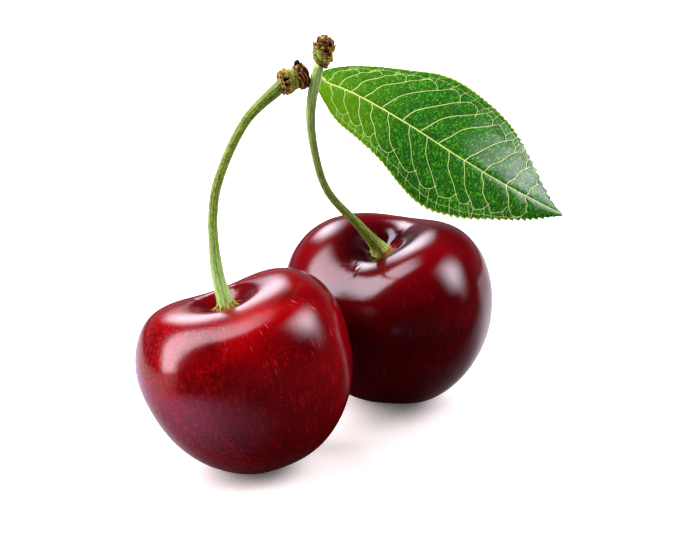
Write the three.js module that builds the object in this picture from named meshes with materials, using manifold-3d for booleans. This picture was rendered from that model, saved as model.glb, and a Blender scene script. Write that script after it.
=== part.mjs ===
// A pair of sweet cherries joined at the top of their stalks, with the leaf that grew beside them.
// Millimetres, +Z up. The fruits rest on z = 0, and the origin is under the middle of the whole.
import * as THREE from 'three';
import { mergeVertices } from 'three/addons/utils/BufferGeometryUtils.js';
import Module from 'manifold-3d';

const wasm = await Module();
wasm.setup();

// Driving dimensions, in millimetres and degrees. Depths and rises in a fruit are shares of its radius,
// reaches are radians from the stalk's axis, and waves are [times round, cosine share, sine share].
const fruitLeft = {
	width: 28.37, thickness: 24.73, height: 26.86, squareness: 2.257, taper: 0.18,
	cavity: { depth: 0.211, reach: 0.597, uneven: [0.031, -0.037] },
	pit: { depth: 0.08, reach: 0.297 },
	shoulders: {
		at: 0.624, spread: 0.254, level: -0.0115,
		waves: [[1, -0.0167, -0.0084], [2, 0.045, 0], [3, -0.0027, 0.0099]]
	},
	belly: [[1, -0.0044, 0.0258], [2, -0.0239, 0.0184]],
	suture: { depth: 0.006, reach: 0.16, turn: -0.34 },
	lean: -17.48, nod: -1.91, spin: 13.13, x: -13.14, y: 7.1
};
const fruitRight = {
	width: 28.48, thickness: 25.69, height: 26.76, squareness: 2.249, taper: 0.153,
	cavity: { depth: 0.2825, reach: 0.482, uneven: [0.0137, 0.124] },
	pit: { depth: 0.0516, reach: 0.292 },
	shoulders: {
		at: 0.5024, spread: 0.548, level: 0.001,
		waves: [[1, 0.0283, 0.0004], [2, 0.0492, 0], [3, -0.0043, 0.0003]]
	},
	belly: [[1, 0.0134, -0.0376], [2, 0.0101, -0.0487]],
	suture: { depth: 0.0454, reach: 0.4075, turn: 0.248 },
	lean: -8.59, nod: 9.72, spin: -27.19, x: 5.52, y: 29
};
const bellyAt = 1.25;         // radians from the axis of the belly's own waves
const bellySpread = 0.6;
const restDepth = 0.12;       // how far the flesh is pressed flat where a fruit rests
const fruitSides = 44;
const fruitRows = 24;
const footGap = 0.8;          // how far the middle of a stalk's foot stands off the bottom of the pit
const footRise = 1.2;         // how far a stalk follows its fruit's axis before it bends away

const stalkSides = 10;
const stalkRows = 34;
const petioleRows = 6;
const stalkLeft = {
	route: [[-17.25, 8.3, 27.2], [-17.75, 10.1, 34.2], [-17, 11.4, 38.6], [-13.4, 14.2, 45.8],
		[-9.3, 16.2, 49.5]],
	radii: [[0, 1.5], [0.03, 1.15], [0.09, 0.92], [0.16, 0.84], [0.3, 0.66], [0.55, 0.62],
		[0.78, 0.64], [0.93, 0.76], [1, 0.86]]
};
const stalkRight = {
	route: [[0.8, 24.45, 27.4], [-3, 22.2, 33.1], [-4.75, 20, 40], [-5.1, 18.1, 45.8],
		[-4.05, 15.85, 52.6]],
	radii: [[0, 1.55], [0.03, 1.1], [0.09, 0.78], [0.18, 0.63], [0.35, 0.55], [0.65, 0.55],
		[0.85, 0.68], [0.94, 0.74], [1, 0.68]]
};

// The woody ends: a corky collar, a short neck and a cup of bud scales, from the stalk outwards.
const spurSides = 12;
const spurEnd = 0.15;         // how far the broken end bulges past the last ring of the profile
const scaleTilt = -0.25;      // radians that each bud scale leans outwards
const scaleStagger = 0.92;    // every other bud scale sits this much lower
const barkRelief = 0.09;      // how far the corky surface rises and falls, as a share of the radius
const barkWaves = { around: [5, 3], along: [2.3, -1.7] };
const spurLeft = {
	from: [-9.12, 16.36, 49.98], to: [-5.5, 17.7, 50.98],
	profile: [[0, 0.95], [0.35, 1.5], [0.95, 1.72], [1.5, 1.45], [2, 1.4], [2.5, 1.6], [3, 1.7],
		[3.4, 1.4]],
	scaleRing: 2.7, scaleCount: 6, scaleSize: [0.75, 0.35, 0.95], scaleRadius: 1.55
};
const spurRight = {
	from: [-3.95, 15.8, 52.95], to: [-2.8, 15.4, 57],
	profile: [[0, 0.75], [0.3, 1.25], [0.9, 1.4], [1.6, 1.35], [2.3, 1.4], [3, 1.1], [3.6, 0.8],
		[3.9, 0.45]],
	scaleRing: 3, scaleCount: 5, scaleSize: [0.6, 0.3, 1], scaleRadius: 0.85
};

const leaf = {
	midrib: [[-5, 18.9, 50.15], [0.3, 17.43, 48.46], [7.68, 15.67, 44.63], [14.15, 14.49, 40.61],
		[20.45, 13.77, 36.88], [27.84, 14.36, 32.59]],
	facing: [0.28, -0.7, 0.65],
	halfWidthBack: [[0, 0.3], [0.035, 1.8], [0.12, 4.1], [0.26, 7.7], [0.4, 10.3], [0.5, 10.75], [0.66, 9.9],
		[0.8, 6.4], [0.9, 2.7], [0.96, 0.8], [1, 0.12]],
	halfWidthFront: [[0, 0.3], [0.035, 1.5], [0.12, 3.9], [0.22, 5], [0.33, 6.1], [0.45, 7.4], [0.56, 8.05],
		[0.68, 7], [0.8, 4.5], [0.92, 1.95], [1, 0.12]],
	thickness: 0.45, edgeThickness: 0.27, arch: 0.065, archPower: 1.5,
	teeth: 48, toothDepth: 0.26, cellsAcross: 6
};
const petiole = {
	route: [[-5.45, 18.6, 50.75], [-4.7, 18.9, 50.4], [-3.2, 18.55, 49.5]],
	radii: [[0, 0.6], [0.5, 0.45], [1, 0.3]]
};

const colours = {
	fruitLeft: 0x8c1020, fruitRight: 0x6e0f22, stalk: 0x7d9a4e, spur: 0x6b4a28, leaf: 0x2f8f2a
};

function vector(point) {
	return new THREE.Vector3(...point);
}

// A smooth curve of one number over another, from a few [position, value] pairs.
function profileCurve(pairs) {
	const curve = new THREE.SplineCurve(pairs.map(([at, value]) => new THREE.Vector2(at, value)));
	const samples = curve.getPoints(200);
	return (at) => {
		const next = samples.findIndex((sample) => sample.x >= at);
		if (next <= 0) return samples[next === 0 ? 0 : samples.length - 1].y;
		const before = samples[next - 1];
		const share = (at - before.x) / Math.max(samples[next].x - before.x, 1e-9);
		return before.y + share * (samples[next].y - before.y);
	};
}

// A closed geometry as a manifold-3d solid, and back again.
function toSolid(geometry) {
	const bare = geometry.clone();
	bare.deleteAttribute('normal');
	bare.deleteAttribute('uv');
	const merged = mergeVertices(bare, 1e-5);
	const vertProperties = new Float32Array(merged.attributes.position.array);
	const triVerts = new Uint32Array(merged.index.array);
	return new wasm.Manifold(new wasm.Mesh({ numProp: 3, vertProperties, triVerts }));
}

function toGeometry(solid) {
	const mesh = solid.getMesh();
	const geometry = new THREE.BufferGeometry();
	geometry.setAttribute('position', new THREE.BufferAttribute(new Float32Array(mesh.vertProperties), 3));
	geometry.setIndex(new THREE.BufferAttribute(new Uint32Array(mesh.triVerts), 1));
	geometry.computeVertexNormals();
	return geometry;
}

// Moves every point of a geometry with a function that changes the point it is given.
function reshape(geometry, move) {
	const position = geometry.attributes.position;
	const point = new THREE.Vector3();
	for (let i = 0; i < position.count; i++) {
		move(point.fromBufferAttribute(position, i));
		position.setXYZ(i, point.x, point.y, point.z);
	}
	return geometry;
}

function waveSum(waves, around) {
	return waves.reduce((sum, [times, cosine, sine]) => (
		sum + cosine * Math.cos(times * around) + sine * Math.sin(times * around)
	), 0);
}

// A fruit round its own axis: a squarish ball that tapers to the tip, rolls in at the stalk and
// is creased down one side, the side that faces -Y.
function fruitPoint(point, fruit) {
	const { width, thickness, height, squareness } = fruit;
	const direction = point.normalize();
	const fromStalk = Math.acos(THREE.MathUtils.clamp(direction.z, -1, 1));
	const around = Math.atan2(direction.y, direction.x);
	const ball = (Math.abs(2 * direction.x / width) ** squareness
		+ Math.abs(2 * direction.y / thickness) ** squareness
		+ Math.abs(2 * direction.z / height) ** squareness) ** (-1 / squareness);
	const { cavity, pit, shoulders, suture } = fruit;
	const nearAxis = Math.min(fromStalk / 0.3, 1);
	const uneven = cavity.uneven[0] * Math.cos(around) + cavity.uneven[1] * Math.sin(around);
	const hollow = cavity.depth * (1 + uneven * nearAxis) * Math.exp(-((fromStalk / cavity.reach) ** 2));
	const well = pit.depth * Math.exp(-((fromStalk / pit.reach) ** 4));
	const offShoulder = (fromStalk - shoulders.at) / shoulders.spread;
	const raised = (shoulders.level + waveSum(shoulders.waves, around)) * Math.exp(-(offShoulder ** 2));
	const offBelly = (fromStalk - bellyAt) / bellySpread;
	const bulge = waveSum(fruit.belly, around) * Math.exp(-(offBelly ** 2));
	const turned = around + Math.PI / 2 - suture.turn;
	const fromSuture = Math.atan2(Math.sin(turned), Math.cos(turned));
	const furrow = suture.depth * Math.exp(-((fromSuture / suture.reach) ** 2)) * Math.sin(fromStalk) ** 2;
	const radius = ball * (1 - hollow - well + raised + bulge - furrow);
	const slimming = 1 + fruit.taper * radius * direction.z / (height / 2);
	point.set(radius * direction.x * slimming, radius * direction.y * slimming, radius * direction.z);
}

// The fruit is turned about its own axis, nods to the front and leans sideways, in that order,
// and is then pressed flat where it rests. Its stalk starts at userData.foot, on the axis.
function makeFruit(name, fruit, colour) {
	const geometry = new THREE.SphereGeometry(1, fruitSides, fruitRows);
	geometry.rotateX(Math.PI / 2);
	reshape(geometry, (point) => fruitPoint(point, fruit));
	const { degToRad } = THREE.MathUtils;
	const turns = new THREE.Euler(degToRad(fruit.nod), degToRad(fruit.lean), degToRad(fruit.spin), 'YXZ');
	geometry.applyMatrix4(new THREE.Matrix4().makeRotationFromEuler(turns));
	geometry.computeBoundingBox();
	const rise = -geometry.boundingBox.min.z - restDepth;
	geometry.translate(0, 0, rise);
	const above = new THREE.BoxGeometry(2 * fruit.width, 2 * fruit.width, 2 * fruit.width);
	above.translate(0, 0, fruit.width);
	const rested = toGeometry(toSolid(geometry).intersect(toSolid(above)));
	const mesh = new THREE.Mesh(rested, new THREE.MeshStandardMaterial({
		color: colour, roughness: 0.18, metalness: 0
	}));
	mesh.name = name;
	mesh.position.set(fruit.x, fruit.y, 0);
	const footHeight = fruit.height / 2 * (1 - fruit.cavity.depth - fruit.pit.depth) + footGap;
	const centre = new THREE.Vector3(fruit.x, fruit.y, rise);
	mesh.userData.foot = [footHeight, footHeight + footRise].map((height) => (
		new THREE.Vector3(0, 0, height).applyEuler(turns).add(centre)
	));
	return mesh;
}

// A round rod with rounded ends whose thickness changes along a smooth route.
function rodGeometry(route, radii, sides, rows) {
	const curve = new THREE.CatmullRomCurve3(route, false, 'centripetal');
	const frames = curve.computeFrenetFrames(rows, false);
	const radiusAt = profileCurve(radii);
	const outline = [new THREE.Vector2(0, 0)];
	for (let row = 0; row <= rows; row++) outline.push(new THREE.Vector2(radiusAt(row / rows), row));
	outline.push(new THREE.Vector2(0, rows));
	const rod = new THREE.LatheGeometry(outline, sides);
	rod.rotateX(Math.PI / 2);
	return reshape(rod, (point) => {
		const row = Math.round(Math.abs(point.z));
		const centre = curve.getPointAt(row / rows);
		const across = frames.normals[row].clone().multiplyScalar(point.x);
		const along = frames.binormals[row].clone().multiplyScalar(point.y);
		point.copy(centre.add(across).add(along));
	});
}

function facingOut(geometry) {
	const position = geometry.attributes.position;
	const index = geometry.index.array;
	const [a, b, c] = [new THREE.Vector3(), new THREE.Vector3(), new THREE.Vector3()];
	let volume = 0;
	for (let i = 0; i < index.length; i += 3) {
		a.fromBufferAttribute(position, index[i]);
		b.fromBufferAttribute(position, index[i + 1]);
		c.fromBufferAttribute(position, index[i + 2]);
		volume += a.dot(b.cross(c));
	}
	if (volume < 0) index.reverse();
	return geometry;
}

function tidy(geometry) {
	geometry.deleteAttribute('normal');
	geometry.deleteAttribute('uv');
	const merged = facingOut(mergeVertices(geometry, 1e-5));
	merged.computeVertexNormals();
	return merged;
}

function makeStalk(name, stalk, fruitMesh) {
	const route = [...fruitMesh.userData.foot, ...stalk.route.map(vector)];
	const rod = tidy(rodGeometry(route, stalk.radii, stalkSides, stalkRows));
	const mesh = new THREE.Mesh(rod, new THREE.MeshStandardMaterial({
		color: colours.stalk, roughness: 0.55, metalness: 0
	}));
	mesh.name = name;
	return mesh;
}

// A woody end stands along +Z in its own frame and is then turned onto the line from its stalk.
function makeSpur(name, spur) {
	const last = spur.profile[spur.profile.length - 1];
	const outline = [new THREE.Vector2(0, 0)];
	for (const [along, radius] of spur.profile) outline.push(new THREE.Vector2(radius, along));
	outline.push(new THREE.Vector2(0, last[0] + spurEnd));
	const core = new THREE.LatheGeometry(outline, spurSides);
	core.rotateX(Math.PI / 2);
	reshape(core, (point) => {
		const around = Math.atan2(point.y, point.x);
		const ridge = Math.sin(barkWaves.around[0] * around + barkWaves.along[0] * point.z);
		const furrow = Math.cos(barkWaves.around[1] * around + barkWaves.along[1] * point.z);
		const relief = 1 + barkRelief * ridge * furrow;
		point.set(point.x * relief, point.y * relief, point.z);
	});
	let solid = toSolid(tidy(core));
	for (let i = 0; i < spur.scaleCount; i++) {
		const scale = new THREE.SphereGeometry(1, 8, 6);
		scale.scale(...spur.scaleSize);
		scale.rotateX(scaleTilt);
		scale.translate(0, spur.scaleRadius, spur.scaleRing * (i % 2 ? 1 : scaleStagger));
		scale.rotateZ(2 * Math.PI * i / spur.scaleCount);
		solid = solid.add(toSolid(scale));
	}
	const mesh = new THREE.Mesh(toGeometry(solid), new THREE.MeshStandardMaterial({
		color: colours.spur, roughness: 0.85, metalness: 0
	}));
	const line = vector(spur.to).sub(vector(spur.from)).normalize();
	mesh.quaternion.setFromUnitVectors(new THREE.Vector3(0, 0, 1), line);
	mesh.position.copy(vector(spur.from));
	mesh.name = name;
	return mesh;
}

// The blade is a thin plate over a grid: rows run along the midrib, two to a tooth, and cells
// run across it. The plate arches backwards from the midrib to both edges.
function makeLeaf(name) {
	const midrib = new THREE.CatmullRomCurve3(leaf.midrib.map(vector), false, 'centripetal');
	const facing = vector(leaf.facing).normalize();
	const backWidth = profileCurve(leaf.halfWidthBack);
	const frontWidth = profileCurve(leaf.halfWidthFront);
	const rows = 2 * leaf.teeth;
	const blade = new THREE.BoxGeometry(2, 1, 1, leaf.cellsAcross, rows, 1);
	reshape(blade, (point) => {
		const share = point.y + 0.5;
		const row = Math.round(share * rows);
		const tangent = midrib.getTangentAt(share);
		const side = facing.clone().cross(tangent).normalize();
		const normal = tangent.clone().cross(side);
		const halfWidth = point.x > 0 ? backWidth(share) : frontWidth(share);
		const atEdge = Math.abs(point.x) > 0.99;
		const notch = atEdge && row % 2 ? Math.min(leaf.toothDepth, halfWidth / 4) : 0;
		const out = point.x * (halfWidth - notch);
		const thickness = atEdge ? leaf.edgeThickness : leaf.thickness;
		const lift = point.z * thickness - leaf.arch * Math.abs(out) ** leaf.archPower;
		const centre = midrib.getPointAt(share);
		point.copy(centre.addScaledVector(side, out).addScaledVector(normal, lift));
	});
	const rod = rodGeometry(petiole.route.map(vector), petiole.radii, stalkSides, petioleRows);
	const whole = toSolid(tidy(blade)).add(toSolid(tidy(rod)));
	const mesh = new THREE.Mesh(toGeometry(whole), new THREE.MeshStandardMaterial({
		color: colours.leaf, roughness: 0.45, metalness: 0, side: THREE.DoubleSide
	}));
	mesh.name = name;
	return mesh;
}

const cluster = new THREE.Group();
const cherryLeft = makeFruit('cherry_left', fruitLeft, colours.fruitLeft);
const cherryRight = makeFruit('cherry_right', fruitRight, colours.fruitRight);
cluster.add(cherryLeft, cherryRight);
cluster.add(makeStalk('stalk_left', stalkLeft, cherryLeft));
cluster.add(makeStalk('stalk_right', stalkRight, cherryRight));
cluster.add(makeSpur('spur_left', spurLeft));
cluster.add(makeSpur('spur_right', spurRight));
cluster.add(makeLeaf('leaf'));

// The origin goes under the middle of the whole.
const bounds = new THREE.Box3().setFromObject(cluster, true);
const middle = bounds.getCenter(new THREE.Vector3());
cluster.position.set(-middle.x, -middle.y, 0);

export default cluster;
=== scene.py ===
# Two sweet cherries on their joined stalks, with a leaf. Metres, +Z up, in the part's own frame.
import math
from functools import partial

import bpy
import numpy as np
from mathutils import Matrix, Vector, noise


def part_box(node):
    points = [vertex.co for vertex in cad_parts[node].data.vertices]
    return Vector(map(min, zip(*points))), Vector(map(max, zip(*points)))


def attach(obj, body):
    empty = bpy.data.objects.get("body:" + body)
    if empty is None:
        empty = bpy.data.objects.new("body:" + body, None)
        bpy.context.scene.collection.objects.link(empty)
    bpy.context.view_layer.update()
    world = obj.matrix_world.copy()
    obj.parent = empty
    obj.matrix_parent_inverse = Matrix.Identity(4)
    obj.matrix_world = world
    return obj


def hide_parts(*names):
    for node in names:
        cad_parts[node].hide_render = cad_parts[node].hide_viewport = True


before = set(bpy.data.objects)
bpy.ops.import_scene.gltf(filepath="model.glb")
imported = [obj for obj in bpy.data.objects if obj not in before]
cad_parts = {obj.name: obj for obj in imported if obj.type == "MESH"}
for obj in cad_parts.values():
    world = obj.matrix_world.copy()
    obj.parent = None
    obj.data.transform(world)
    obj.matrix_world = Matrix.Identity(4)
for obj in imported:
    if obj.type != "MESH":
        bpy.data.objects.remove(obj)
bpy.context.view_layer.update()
mm = 0.001


def linear(hexColour):   # sRGB hex to the linear RGBA that shaders want
    parts = [int(hexColour[i:i + 2], 16) / 255 for i in (1, 3, 5)]
    return [c / 12.92 if c <= 0.04045 else ((c + 0.055) / 1.055) ** 2.4 for c in parts] + [1.0]


# What a kind of node is usually set to, and a map range's setting for a soft edge. A map range's sockets are
# its value, where it starts and is full, and what it gives there. A texture's are its place, scale, detail
# and roughness, and a mix's are the share, under and over.
usual = dict(Mix=dict(data_type="RGBA"), Math=dict(operation="MULTIPLY"),
             VectorMath=dict(operation="MULTIPLY"))
soft = dict(interpolation_type="SMOOTHSTEP")


def addNode(tree, kind, sockets=(), **settings):   # sockets take values, hex colours, nodes or outputs
    made = tree.nodes.new("ShaderNode" + kind)
    for key, value in {**usual.get(kind, {}), **settings}.items():
        setattr(made, key, value)
    shown = [socket for socket in made.inputs if socket.enabled]
    for key, value in (sockets.items() if isinstance(sockets, dict) else enumerate(sockets)):
        socket = shown[key] if isinstance(key, int) else made.inputs[key]
        if isinstance(value, bpy.types.Node):
            value = next(output for output in value.outputs if output.enabled)
        if isinstance(value, bpy.types.NodeSocket):
            tree.links.new(value, socket)
        else:
            socket.default_value = linear(value) if isinstance(value, str) else value
    return made


def finished(owner, kind, surface, *look):   # a material or world with new nodes, whose shader surface adds
    owner.use_nodes = True
    owner.node_tree.nodes.clear()
    add = partial(addNode, owner.node_tree)
    add(kind, [surface(add, *look)])
    return owner


def makeMaterial(name, surface, *look):
    return finished(bpy.data.materials.new(name), "OutputMaterial", surface, *look)


def layered(add, colour, layers):   # a layer is its masks, then the colour that it lays where they all are
    for *masks, over in layers:
        share = masks[0]
        for mask in masks[1:]:
            share = add("Math", [share, mask])
        colour = add("Mix", [share, colour, over])
    return colour


def grid(downwards, across):
    return np.meshgrid(downwards, across, indexing="ij")


def allRound(count, start=0):   # evenly spaced turns, once round from the start
    return np.linspace(start, start + 2 * np.pi, count, endpoint=False)


def smoothStep(low, high, value):
    share = np.clip((value - low) / (high - low), 0, 1)
    return share * share * (3 - 2 * share)


def cubic(t, start, end, leaving, arriving):   # a smooth way from start to end, as t goes from 0 to 1
    return ((2 * t ** 3 - 3 * t ** 2 + 1) * start + (t ** 3 - 2 * t ** 2 + t) * leaving
            + (3 * t ** 2 - 2 * t ** 3) * end + (t ** 3 - t ** 2) * arriving)


def smoothValue(pairs, at):   # a smooth curve through a few [position, value] pairs
    xs, ys = np.array(pairs, float).T
    slopes = np.gradient(ys, xs)
    at = np.clip(at, xs[0], xs[-1])
    low = np.clip(np.searchsorted(xs, at, side="right") - 1, 0, len(xs) - 2)
    span = xs[low + 1] - xs[low]
    t = (at - xs[low]) / span
    return cubic(t, ys[low], ys[low + 1], span * slopes[low], span * slopes[low + 1])


def smoothRoute(points, count):   # evenly spaced points on a centripetal spline, and its length
    p = np.array(points, float)
    p = np.vstack([2 * p[0] - p[1], p, 2 * p[-1] - p[-2]])
    dense = []
    for a, b, c, d in zip(p, p[1:], p[2:], p[3:]):
        ab, bc, cd = (np.linalg.norm(q - r) ** 0.5 for q, r in ((b, a), (c, b), (d, c)))
        into = ((b - a) / ab - (c - a) / (ab + bc) + (c - b) / bc) * bc
        out = ((c - b) / bc - (d - b) / (bc + cd) + (d - c) / cd) * bc
        dense.append(cubic(np.linspace(0, 1, 60, endpoint=False)[:, None], b, c, into, out))
    dense = np.vstack(dense + [p[-2:-1]])
    walked = np.r_[0, np.cumsum(np.linalg.norm(np.diff(dense, axis=0), axis=1))]
    even = np.linspace(0, walked[-1], count)
    return np.stack([np.interp(even, walked, dense[:, i]) for i in range(3)], 1), walked[-1]


def unit(vectors):
    return vectors / np.linalg.norm(vectors, axis=-1, keepdims=True)


def framesAlong(centres):   # tangents, with two directions across that don't twist
    tangents = unit(np.gradient(centres, axis=0))
    sides = np.empty_like(centres)
    side = np.array([0, -1.0, 0])
    for i, tangent in enumerate(tangents):
        side = side - tangent * side.dot(tangent)
        side /= np.linalg.norm(side)
        sides[i] = side
    return tangents, sides, np.cross(tangents, sides)


def turned(points, fruit):   # spin about the fruit's own axis, nod to the front, lean sideways
    turn = np.identity(3)
    for key, i, j in (("spin", 0, 1), ("nod", 1, 2), ("lean", 2, 0)):
        a = math.radians(fruit[key])
        once = np.identity(3)
        once[[i, i, j, j], [i, j, i, j]] = math.cos(a), -math.sin(a), math.sin(a), math.cos(a)
        turn = once @ turn
    return points @ turn.T


def lumps(points, size, depth, seed):   # smooth noise between about -1 and 1
    at = np.asarray(points, float).reshape(-1, 3) / size + seed
    values = [noise.fractal(Vector(p), 0.9, 2.1, depth) for p in at]
    return np.array(values).reshape(np.shape(points)[:-1])


def cracks(points, size, seed):   # 0 in the cracks between cells to 1 inside, and a number for each cell
    at = np.asarray(points, float).reshape(-1, 3) / size + seed
    found = [noise.voronoi(Vector(p)) for p in at]
    gap = np.array([distances[1] - distances[0] for distances, _ in found])
    cell = np.array([(nearest[0].x * 12.9898 + nearest[0].y * 78.233 + nearest[0].z * 37.719) % 1
                     for _, nearest in found])
    return smoothStep(0, 0.45, gap), cell


def addObject(name, data):
    made = bpy.data.objects.new(name, data)
    bpy.context.scene.collection.objects.link(made)
    return made


# Each part of a mesh is its points in mm, its faces, which count from its own first point, and its value of
# each field: at every point, at those of one of its two sheets, or one for all.
def buildPiece(name, node, material, fields, parts):
    points, faces, values, first = [], [], [[] for _ in fields], 0
    for places, corners, *own in parts:
        places = np.reshape(places, (-1, 3))
        points.append(places)
        faces += [[first + corner for corner in face] for face in corners]
        for found, value in zip(values, own):
            shape = (len(places), 3) if np.shape(value)[-1:] == (3,) else len(places)
            found.append(np.resize(value, shape).astype(float))
        first += len(places)
    mesh = bpy.data.meshes.new(name)
    mesh.from_pydata(((np.vstack(points) + fruitForm["shift"]) * mm).tolist(), [], faces)
    for field, found in zip(fields, values):
        found = np.concatenate(found)
        kind, entry = ("FLOAT", "value") if found.ndim == 1 else ("FLOAT_VECTOR", "vector")
        mesh.attributes.new(field, kind, "POINT").data.foreach_set(entry, found.ravel())
    mesh.shade_smooth()
    mesh.materials.append(material)
    piece = addObject(name, mesh)
    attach(piece, "root")
    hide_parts(node)
    print("built", name, len(faces), "faces")
    return piece


def tubeFaces(rings, sides):   # quads between closed rings, then a fan to each end's own point
    start, last = rings * sides, (rings - 1) * sides
    pairs = [(side, (side + 1) % sides) for side in range(sides)]
    faces = [(r + a, r + b, r + b + sides, r + a + sides) for r in range(0, last, sides) for a, b in pairs]
    for a, b in pairs:
        faces += [(start, b, a), (start + 1, last + a, last + b)]
    return faces


def spoke(turn, across, behind):   # the direction at a turn about an axis
    return np.cos(turn)[..., None] * across + np.sin(turn)[..., None] * behind


def tubePoints(centres, radius, around):   # rings of points about a route, then the route's two ends
    _, across, behind = framesAlong(centres)
    rings = centres[:, None] + radius[..., None] * spoke(around, across[:, None], behind[:, None])
    return np.vstack([rings.reshape(-1, 3), centres[:1], centres[-1:]])


# Depths and rises are shares of a fruit's radius, reaches are radians from the stalk's axis, and waves are
# [times round, cosine share, sine share]. Folds are [turn in degrees, bend, from, to, width, depth].
fruitLeft = dict(
    width=28.37, thickness=24.73, height=26.86, squareness=2.257, taper=0.18,
    cavity=[0.211, 0.597], uneven=[0.031, -0.037], pit=[0.1, 0.27],
    shoulders=dict(at=0.624, spread=0.254, level=-0.0115,
                   waves=[[1, -0.0167, -0.0084], [2, 0.045, 0], [3, -0.0027, 0.0099]]),
    belly=[[1, -0.0044, 0.0258], [2, -0.0239, 0.0184]], suture=[0.006, 0.16, -0.34],
    folds=[[-165, 6, 0.27, 0.36, 0.02, 0.003], [-158, 4, 0.28, 0.35, 0.018, 0.002],
           [-24, -10, 0.18, 0.38, 0.03, 0.004], [60, 8, 0.2, 0.5, 0.04, 0.004],
           [140, -6, 0.22, 0.42, 0.03, 0.003]],
    lean=-17.48, nod=-1.91, spin=13.13, x=-13.14, y=7.1, seed=3.0)
fruitRight = dict(
    width=28.48, thickness=25.69, height=26.76, squareness=2.249, taper=0.153,
    cavity=[0.2825, 0.482], uneven=[0.0137, 0.124], pit=[0.0516, 0.292],
    shoulders=dict(at=0.5024, spread=0.548, level=0.001,
                   waves=[[1, 0.0283, 0.0004], [2, 0.0492, 0], [3, -0.0043, 0.0003]]),
    belly=[[1, 0.0134, -0.0376], [2, 0.0101, -0.0487]], suture=[0.0454, 0.4075, 0.248],
    folds=[[-95, 7, 0.34, 0.64, 0.013, 0.0045], [-92, -4, 0.46, 0.72, 0.011, 0.003],
           [-99, 9, 0.36, 0.5, 0.013, 0.0035], [-113, -8, 0.42, 0.54, 0.013, 0.002],
           [-62, 10, 0.42, 0.6, 0.02, 0.002], [70, -8, 0.26, 0.5, 0.04, 0.004],
           [96, 6, 0.22, 0.4, 0.04, 0.004]],
    lean=-8.59, nod=9.72, spin=-27.19, x=5.52, y=29.0, seed=11.0)
fruitForm = dict(bellyAt=1.25, bellySpread=0.6, wavesDepth=0.05, wavesSize=7.0, tipDimple=0.02, tipReach=0.09,
                 restDepth=0.12, rows=190, sides=320)


def waveSum(waves, around):
    return sum(c * np.cos(times * around) + s * np.sin(times * around) for times, c, s in waves)


def wrapped(angle):   # the same angle, from -pi to pi
    return np.angle(np.exp(1j * angle))


def bump(off, width, power=2):   # 1 where off is 0, falling smoothly to nothing beyond its width
    return np.exp(-(off / width) ** power)


def onBall(fromTop, around):
    return np.stack([np.sin(fromTop) * np.cos(around), np.sin(fromTop) * np.sin(around), np.cos(fromTop)], -1)


def fruitRadius(shape, fromStalk, around):   # a soft-cornered ball with its cavity, pit, shoulders and suture
    form = fruitForm
    direction = onBall(fromStalk, around)
    halves = np.array([shape["width"], shape["thickness"], shape["height"]]) / 2
    n = shape["squareness"]
    ball = (np.abs(direction / halves) ** n).sum(-1) ** (-1 / n)
    across, behind = shape["uneven"]
    depth, reach = shape["cavity"]
    uneven = (across * np.cos(around) + behind * np.sin(around)) * np.minimum(fromStalk / 0.3, 1)
    cavity = depth * (1 + uneven) * bump(fromStalk, reach)
    depth, reach = shape["pit"]
    pit = depth * bump(fromStalk, reach, 5)
    shoulders = shape["shoulders"]
    raised = shoulders["level"] + waveSum(shoulders["waves"], around)
    raised = raised * bump(fromStalk - shoulders["at"], shoulders["spread"])
    belly = waveSum(shape["belly"], around) * bump(fromStalk - form["bellyAt"], form["bellySpread"])
    depth, reach, turn = shape["suture"]
    suture = depth * bump(wrapped(around + np.pi / 2 - turn), reach) * np.sin(fromStalk) ** 2
    folded = 0
    for turn, bend, start, end, width, depth in shape["folds"]:   # short folds that run out from the pit
        share = np.clip((fromStalk - start) / (end - start), 0, 1)
        line = np.radians(turn + bend * (share - 0.5) + 1.5 * np.sin(9 * share))
        gap = wrapped(around - line) * np.sin(fromStalk)
        folded = folded + depth * bump(gap, width) * np.sin(np.pi * share) ** 0.8
    tip = form["tipDimple"] * bump(np.pi - fromStalk, form["tipReach"])
    return ball * (1 - cavity - pit + raised + belly - suture - folded - tip), direction


def fruitPlace(shape, fromStalk, around):
    radius, direction = fruitRadius(shape, fromStalk, around)
    local = radius[..., None] * direction
    waves = fruitForm["wavesDepth"] * lumps(local, fruitForm["wavesSize"], 2, shape["seed"])
    local = local + direction * (waves * smoothStep(0.3, 0.8, fromStalk))[..., None]
    local[..., :2] *= 1 + shape["taper"] * local[..., 2:] / (shape["height"] / 2)
    return local


def makeFruit(name, shape, node, material):
    rows, sides = fruitForm["rows"], fruitForm["sides"]
    theta, phi = grid(np.linspace(0, np.pi, rows + 1)[1:-1], allRound(sides, -np.pi))
    poles = fruitPlace(shape, np.array([0.0, np.pi]), np.zeros(2))
    points = turned(np.vstack([fruitPlace(shape, theta, phi).reshape(-1, 3), poles]), shape)
    shape["rise"] = -points[:, 2].min() - fruitForm["restDepth"]
    points += [shape["x"], shape["y"], shape["rise"]]
    points[:, 2] = np.maximum(points[:, 2], 0)   # pressed flat where it rests
    if "shift" not in fruitForm:   # from the places in these dictionaries to the frame's
        low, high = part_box(node)
        middle = (points.min(0) + points.max(0)) / 2
        fruitForm["shift"] = ((np.array(low) + np.array(high)) / 2 / mm - middle) * [1, 1, 0]
    girth = 13.0   # mm, which makes the streaks' coordinates about mm on the skin
    streak = np.stack([girth * np.cos(phi), girth * np.sin(phi), girth * theta], -1).reshape(-1, 3)
    streak = np.vstack([streak, [[0, 0, 0], [0, 0, girth * np.pi]]])
    skin = (points, tubeFaces(rows - 1, sides), streak, np.r_[theta.ravel(), 0, np.pi])
    buildPiece(name, node, material, ("streakPlace", "fromStalk"), [skin])


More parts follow.
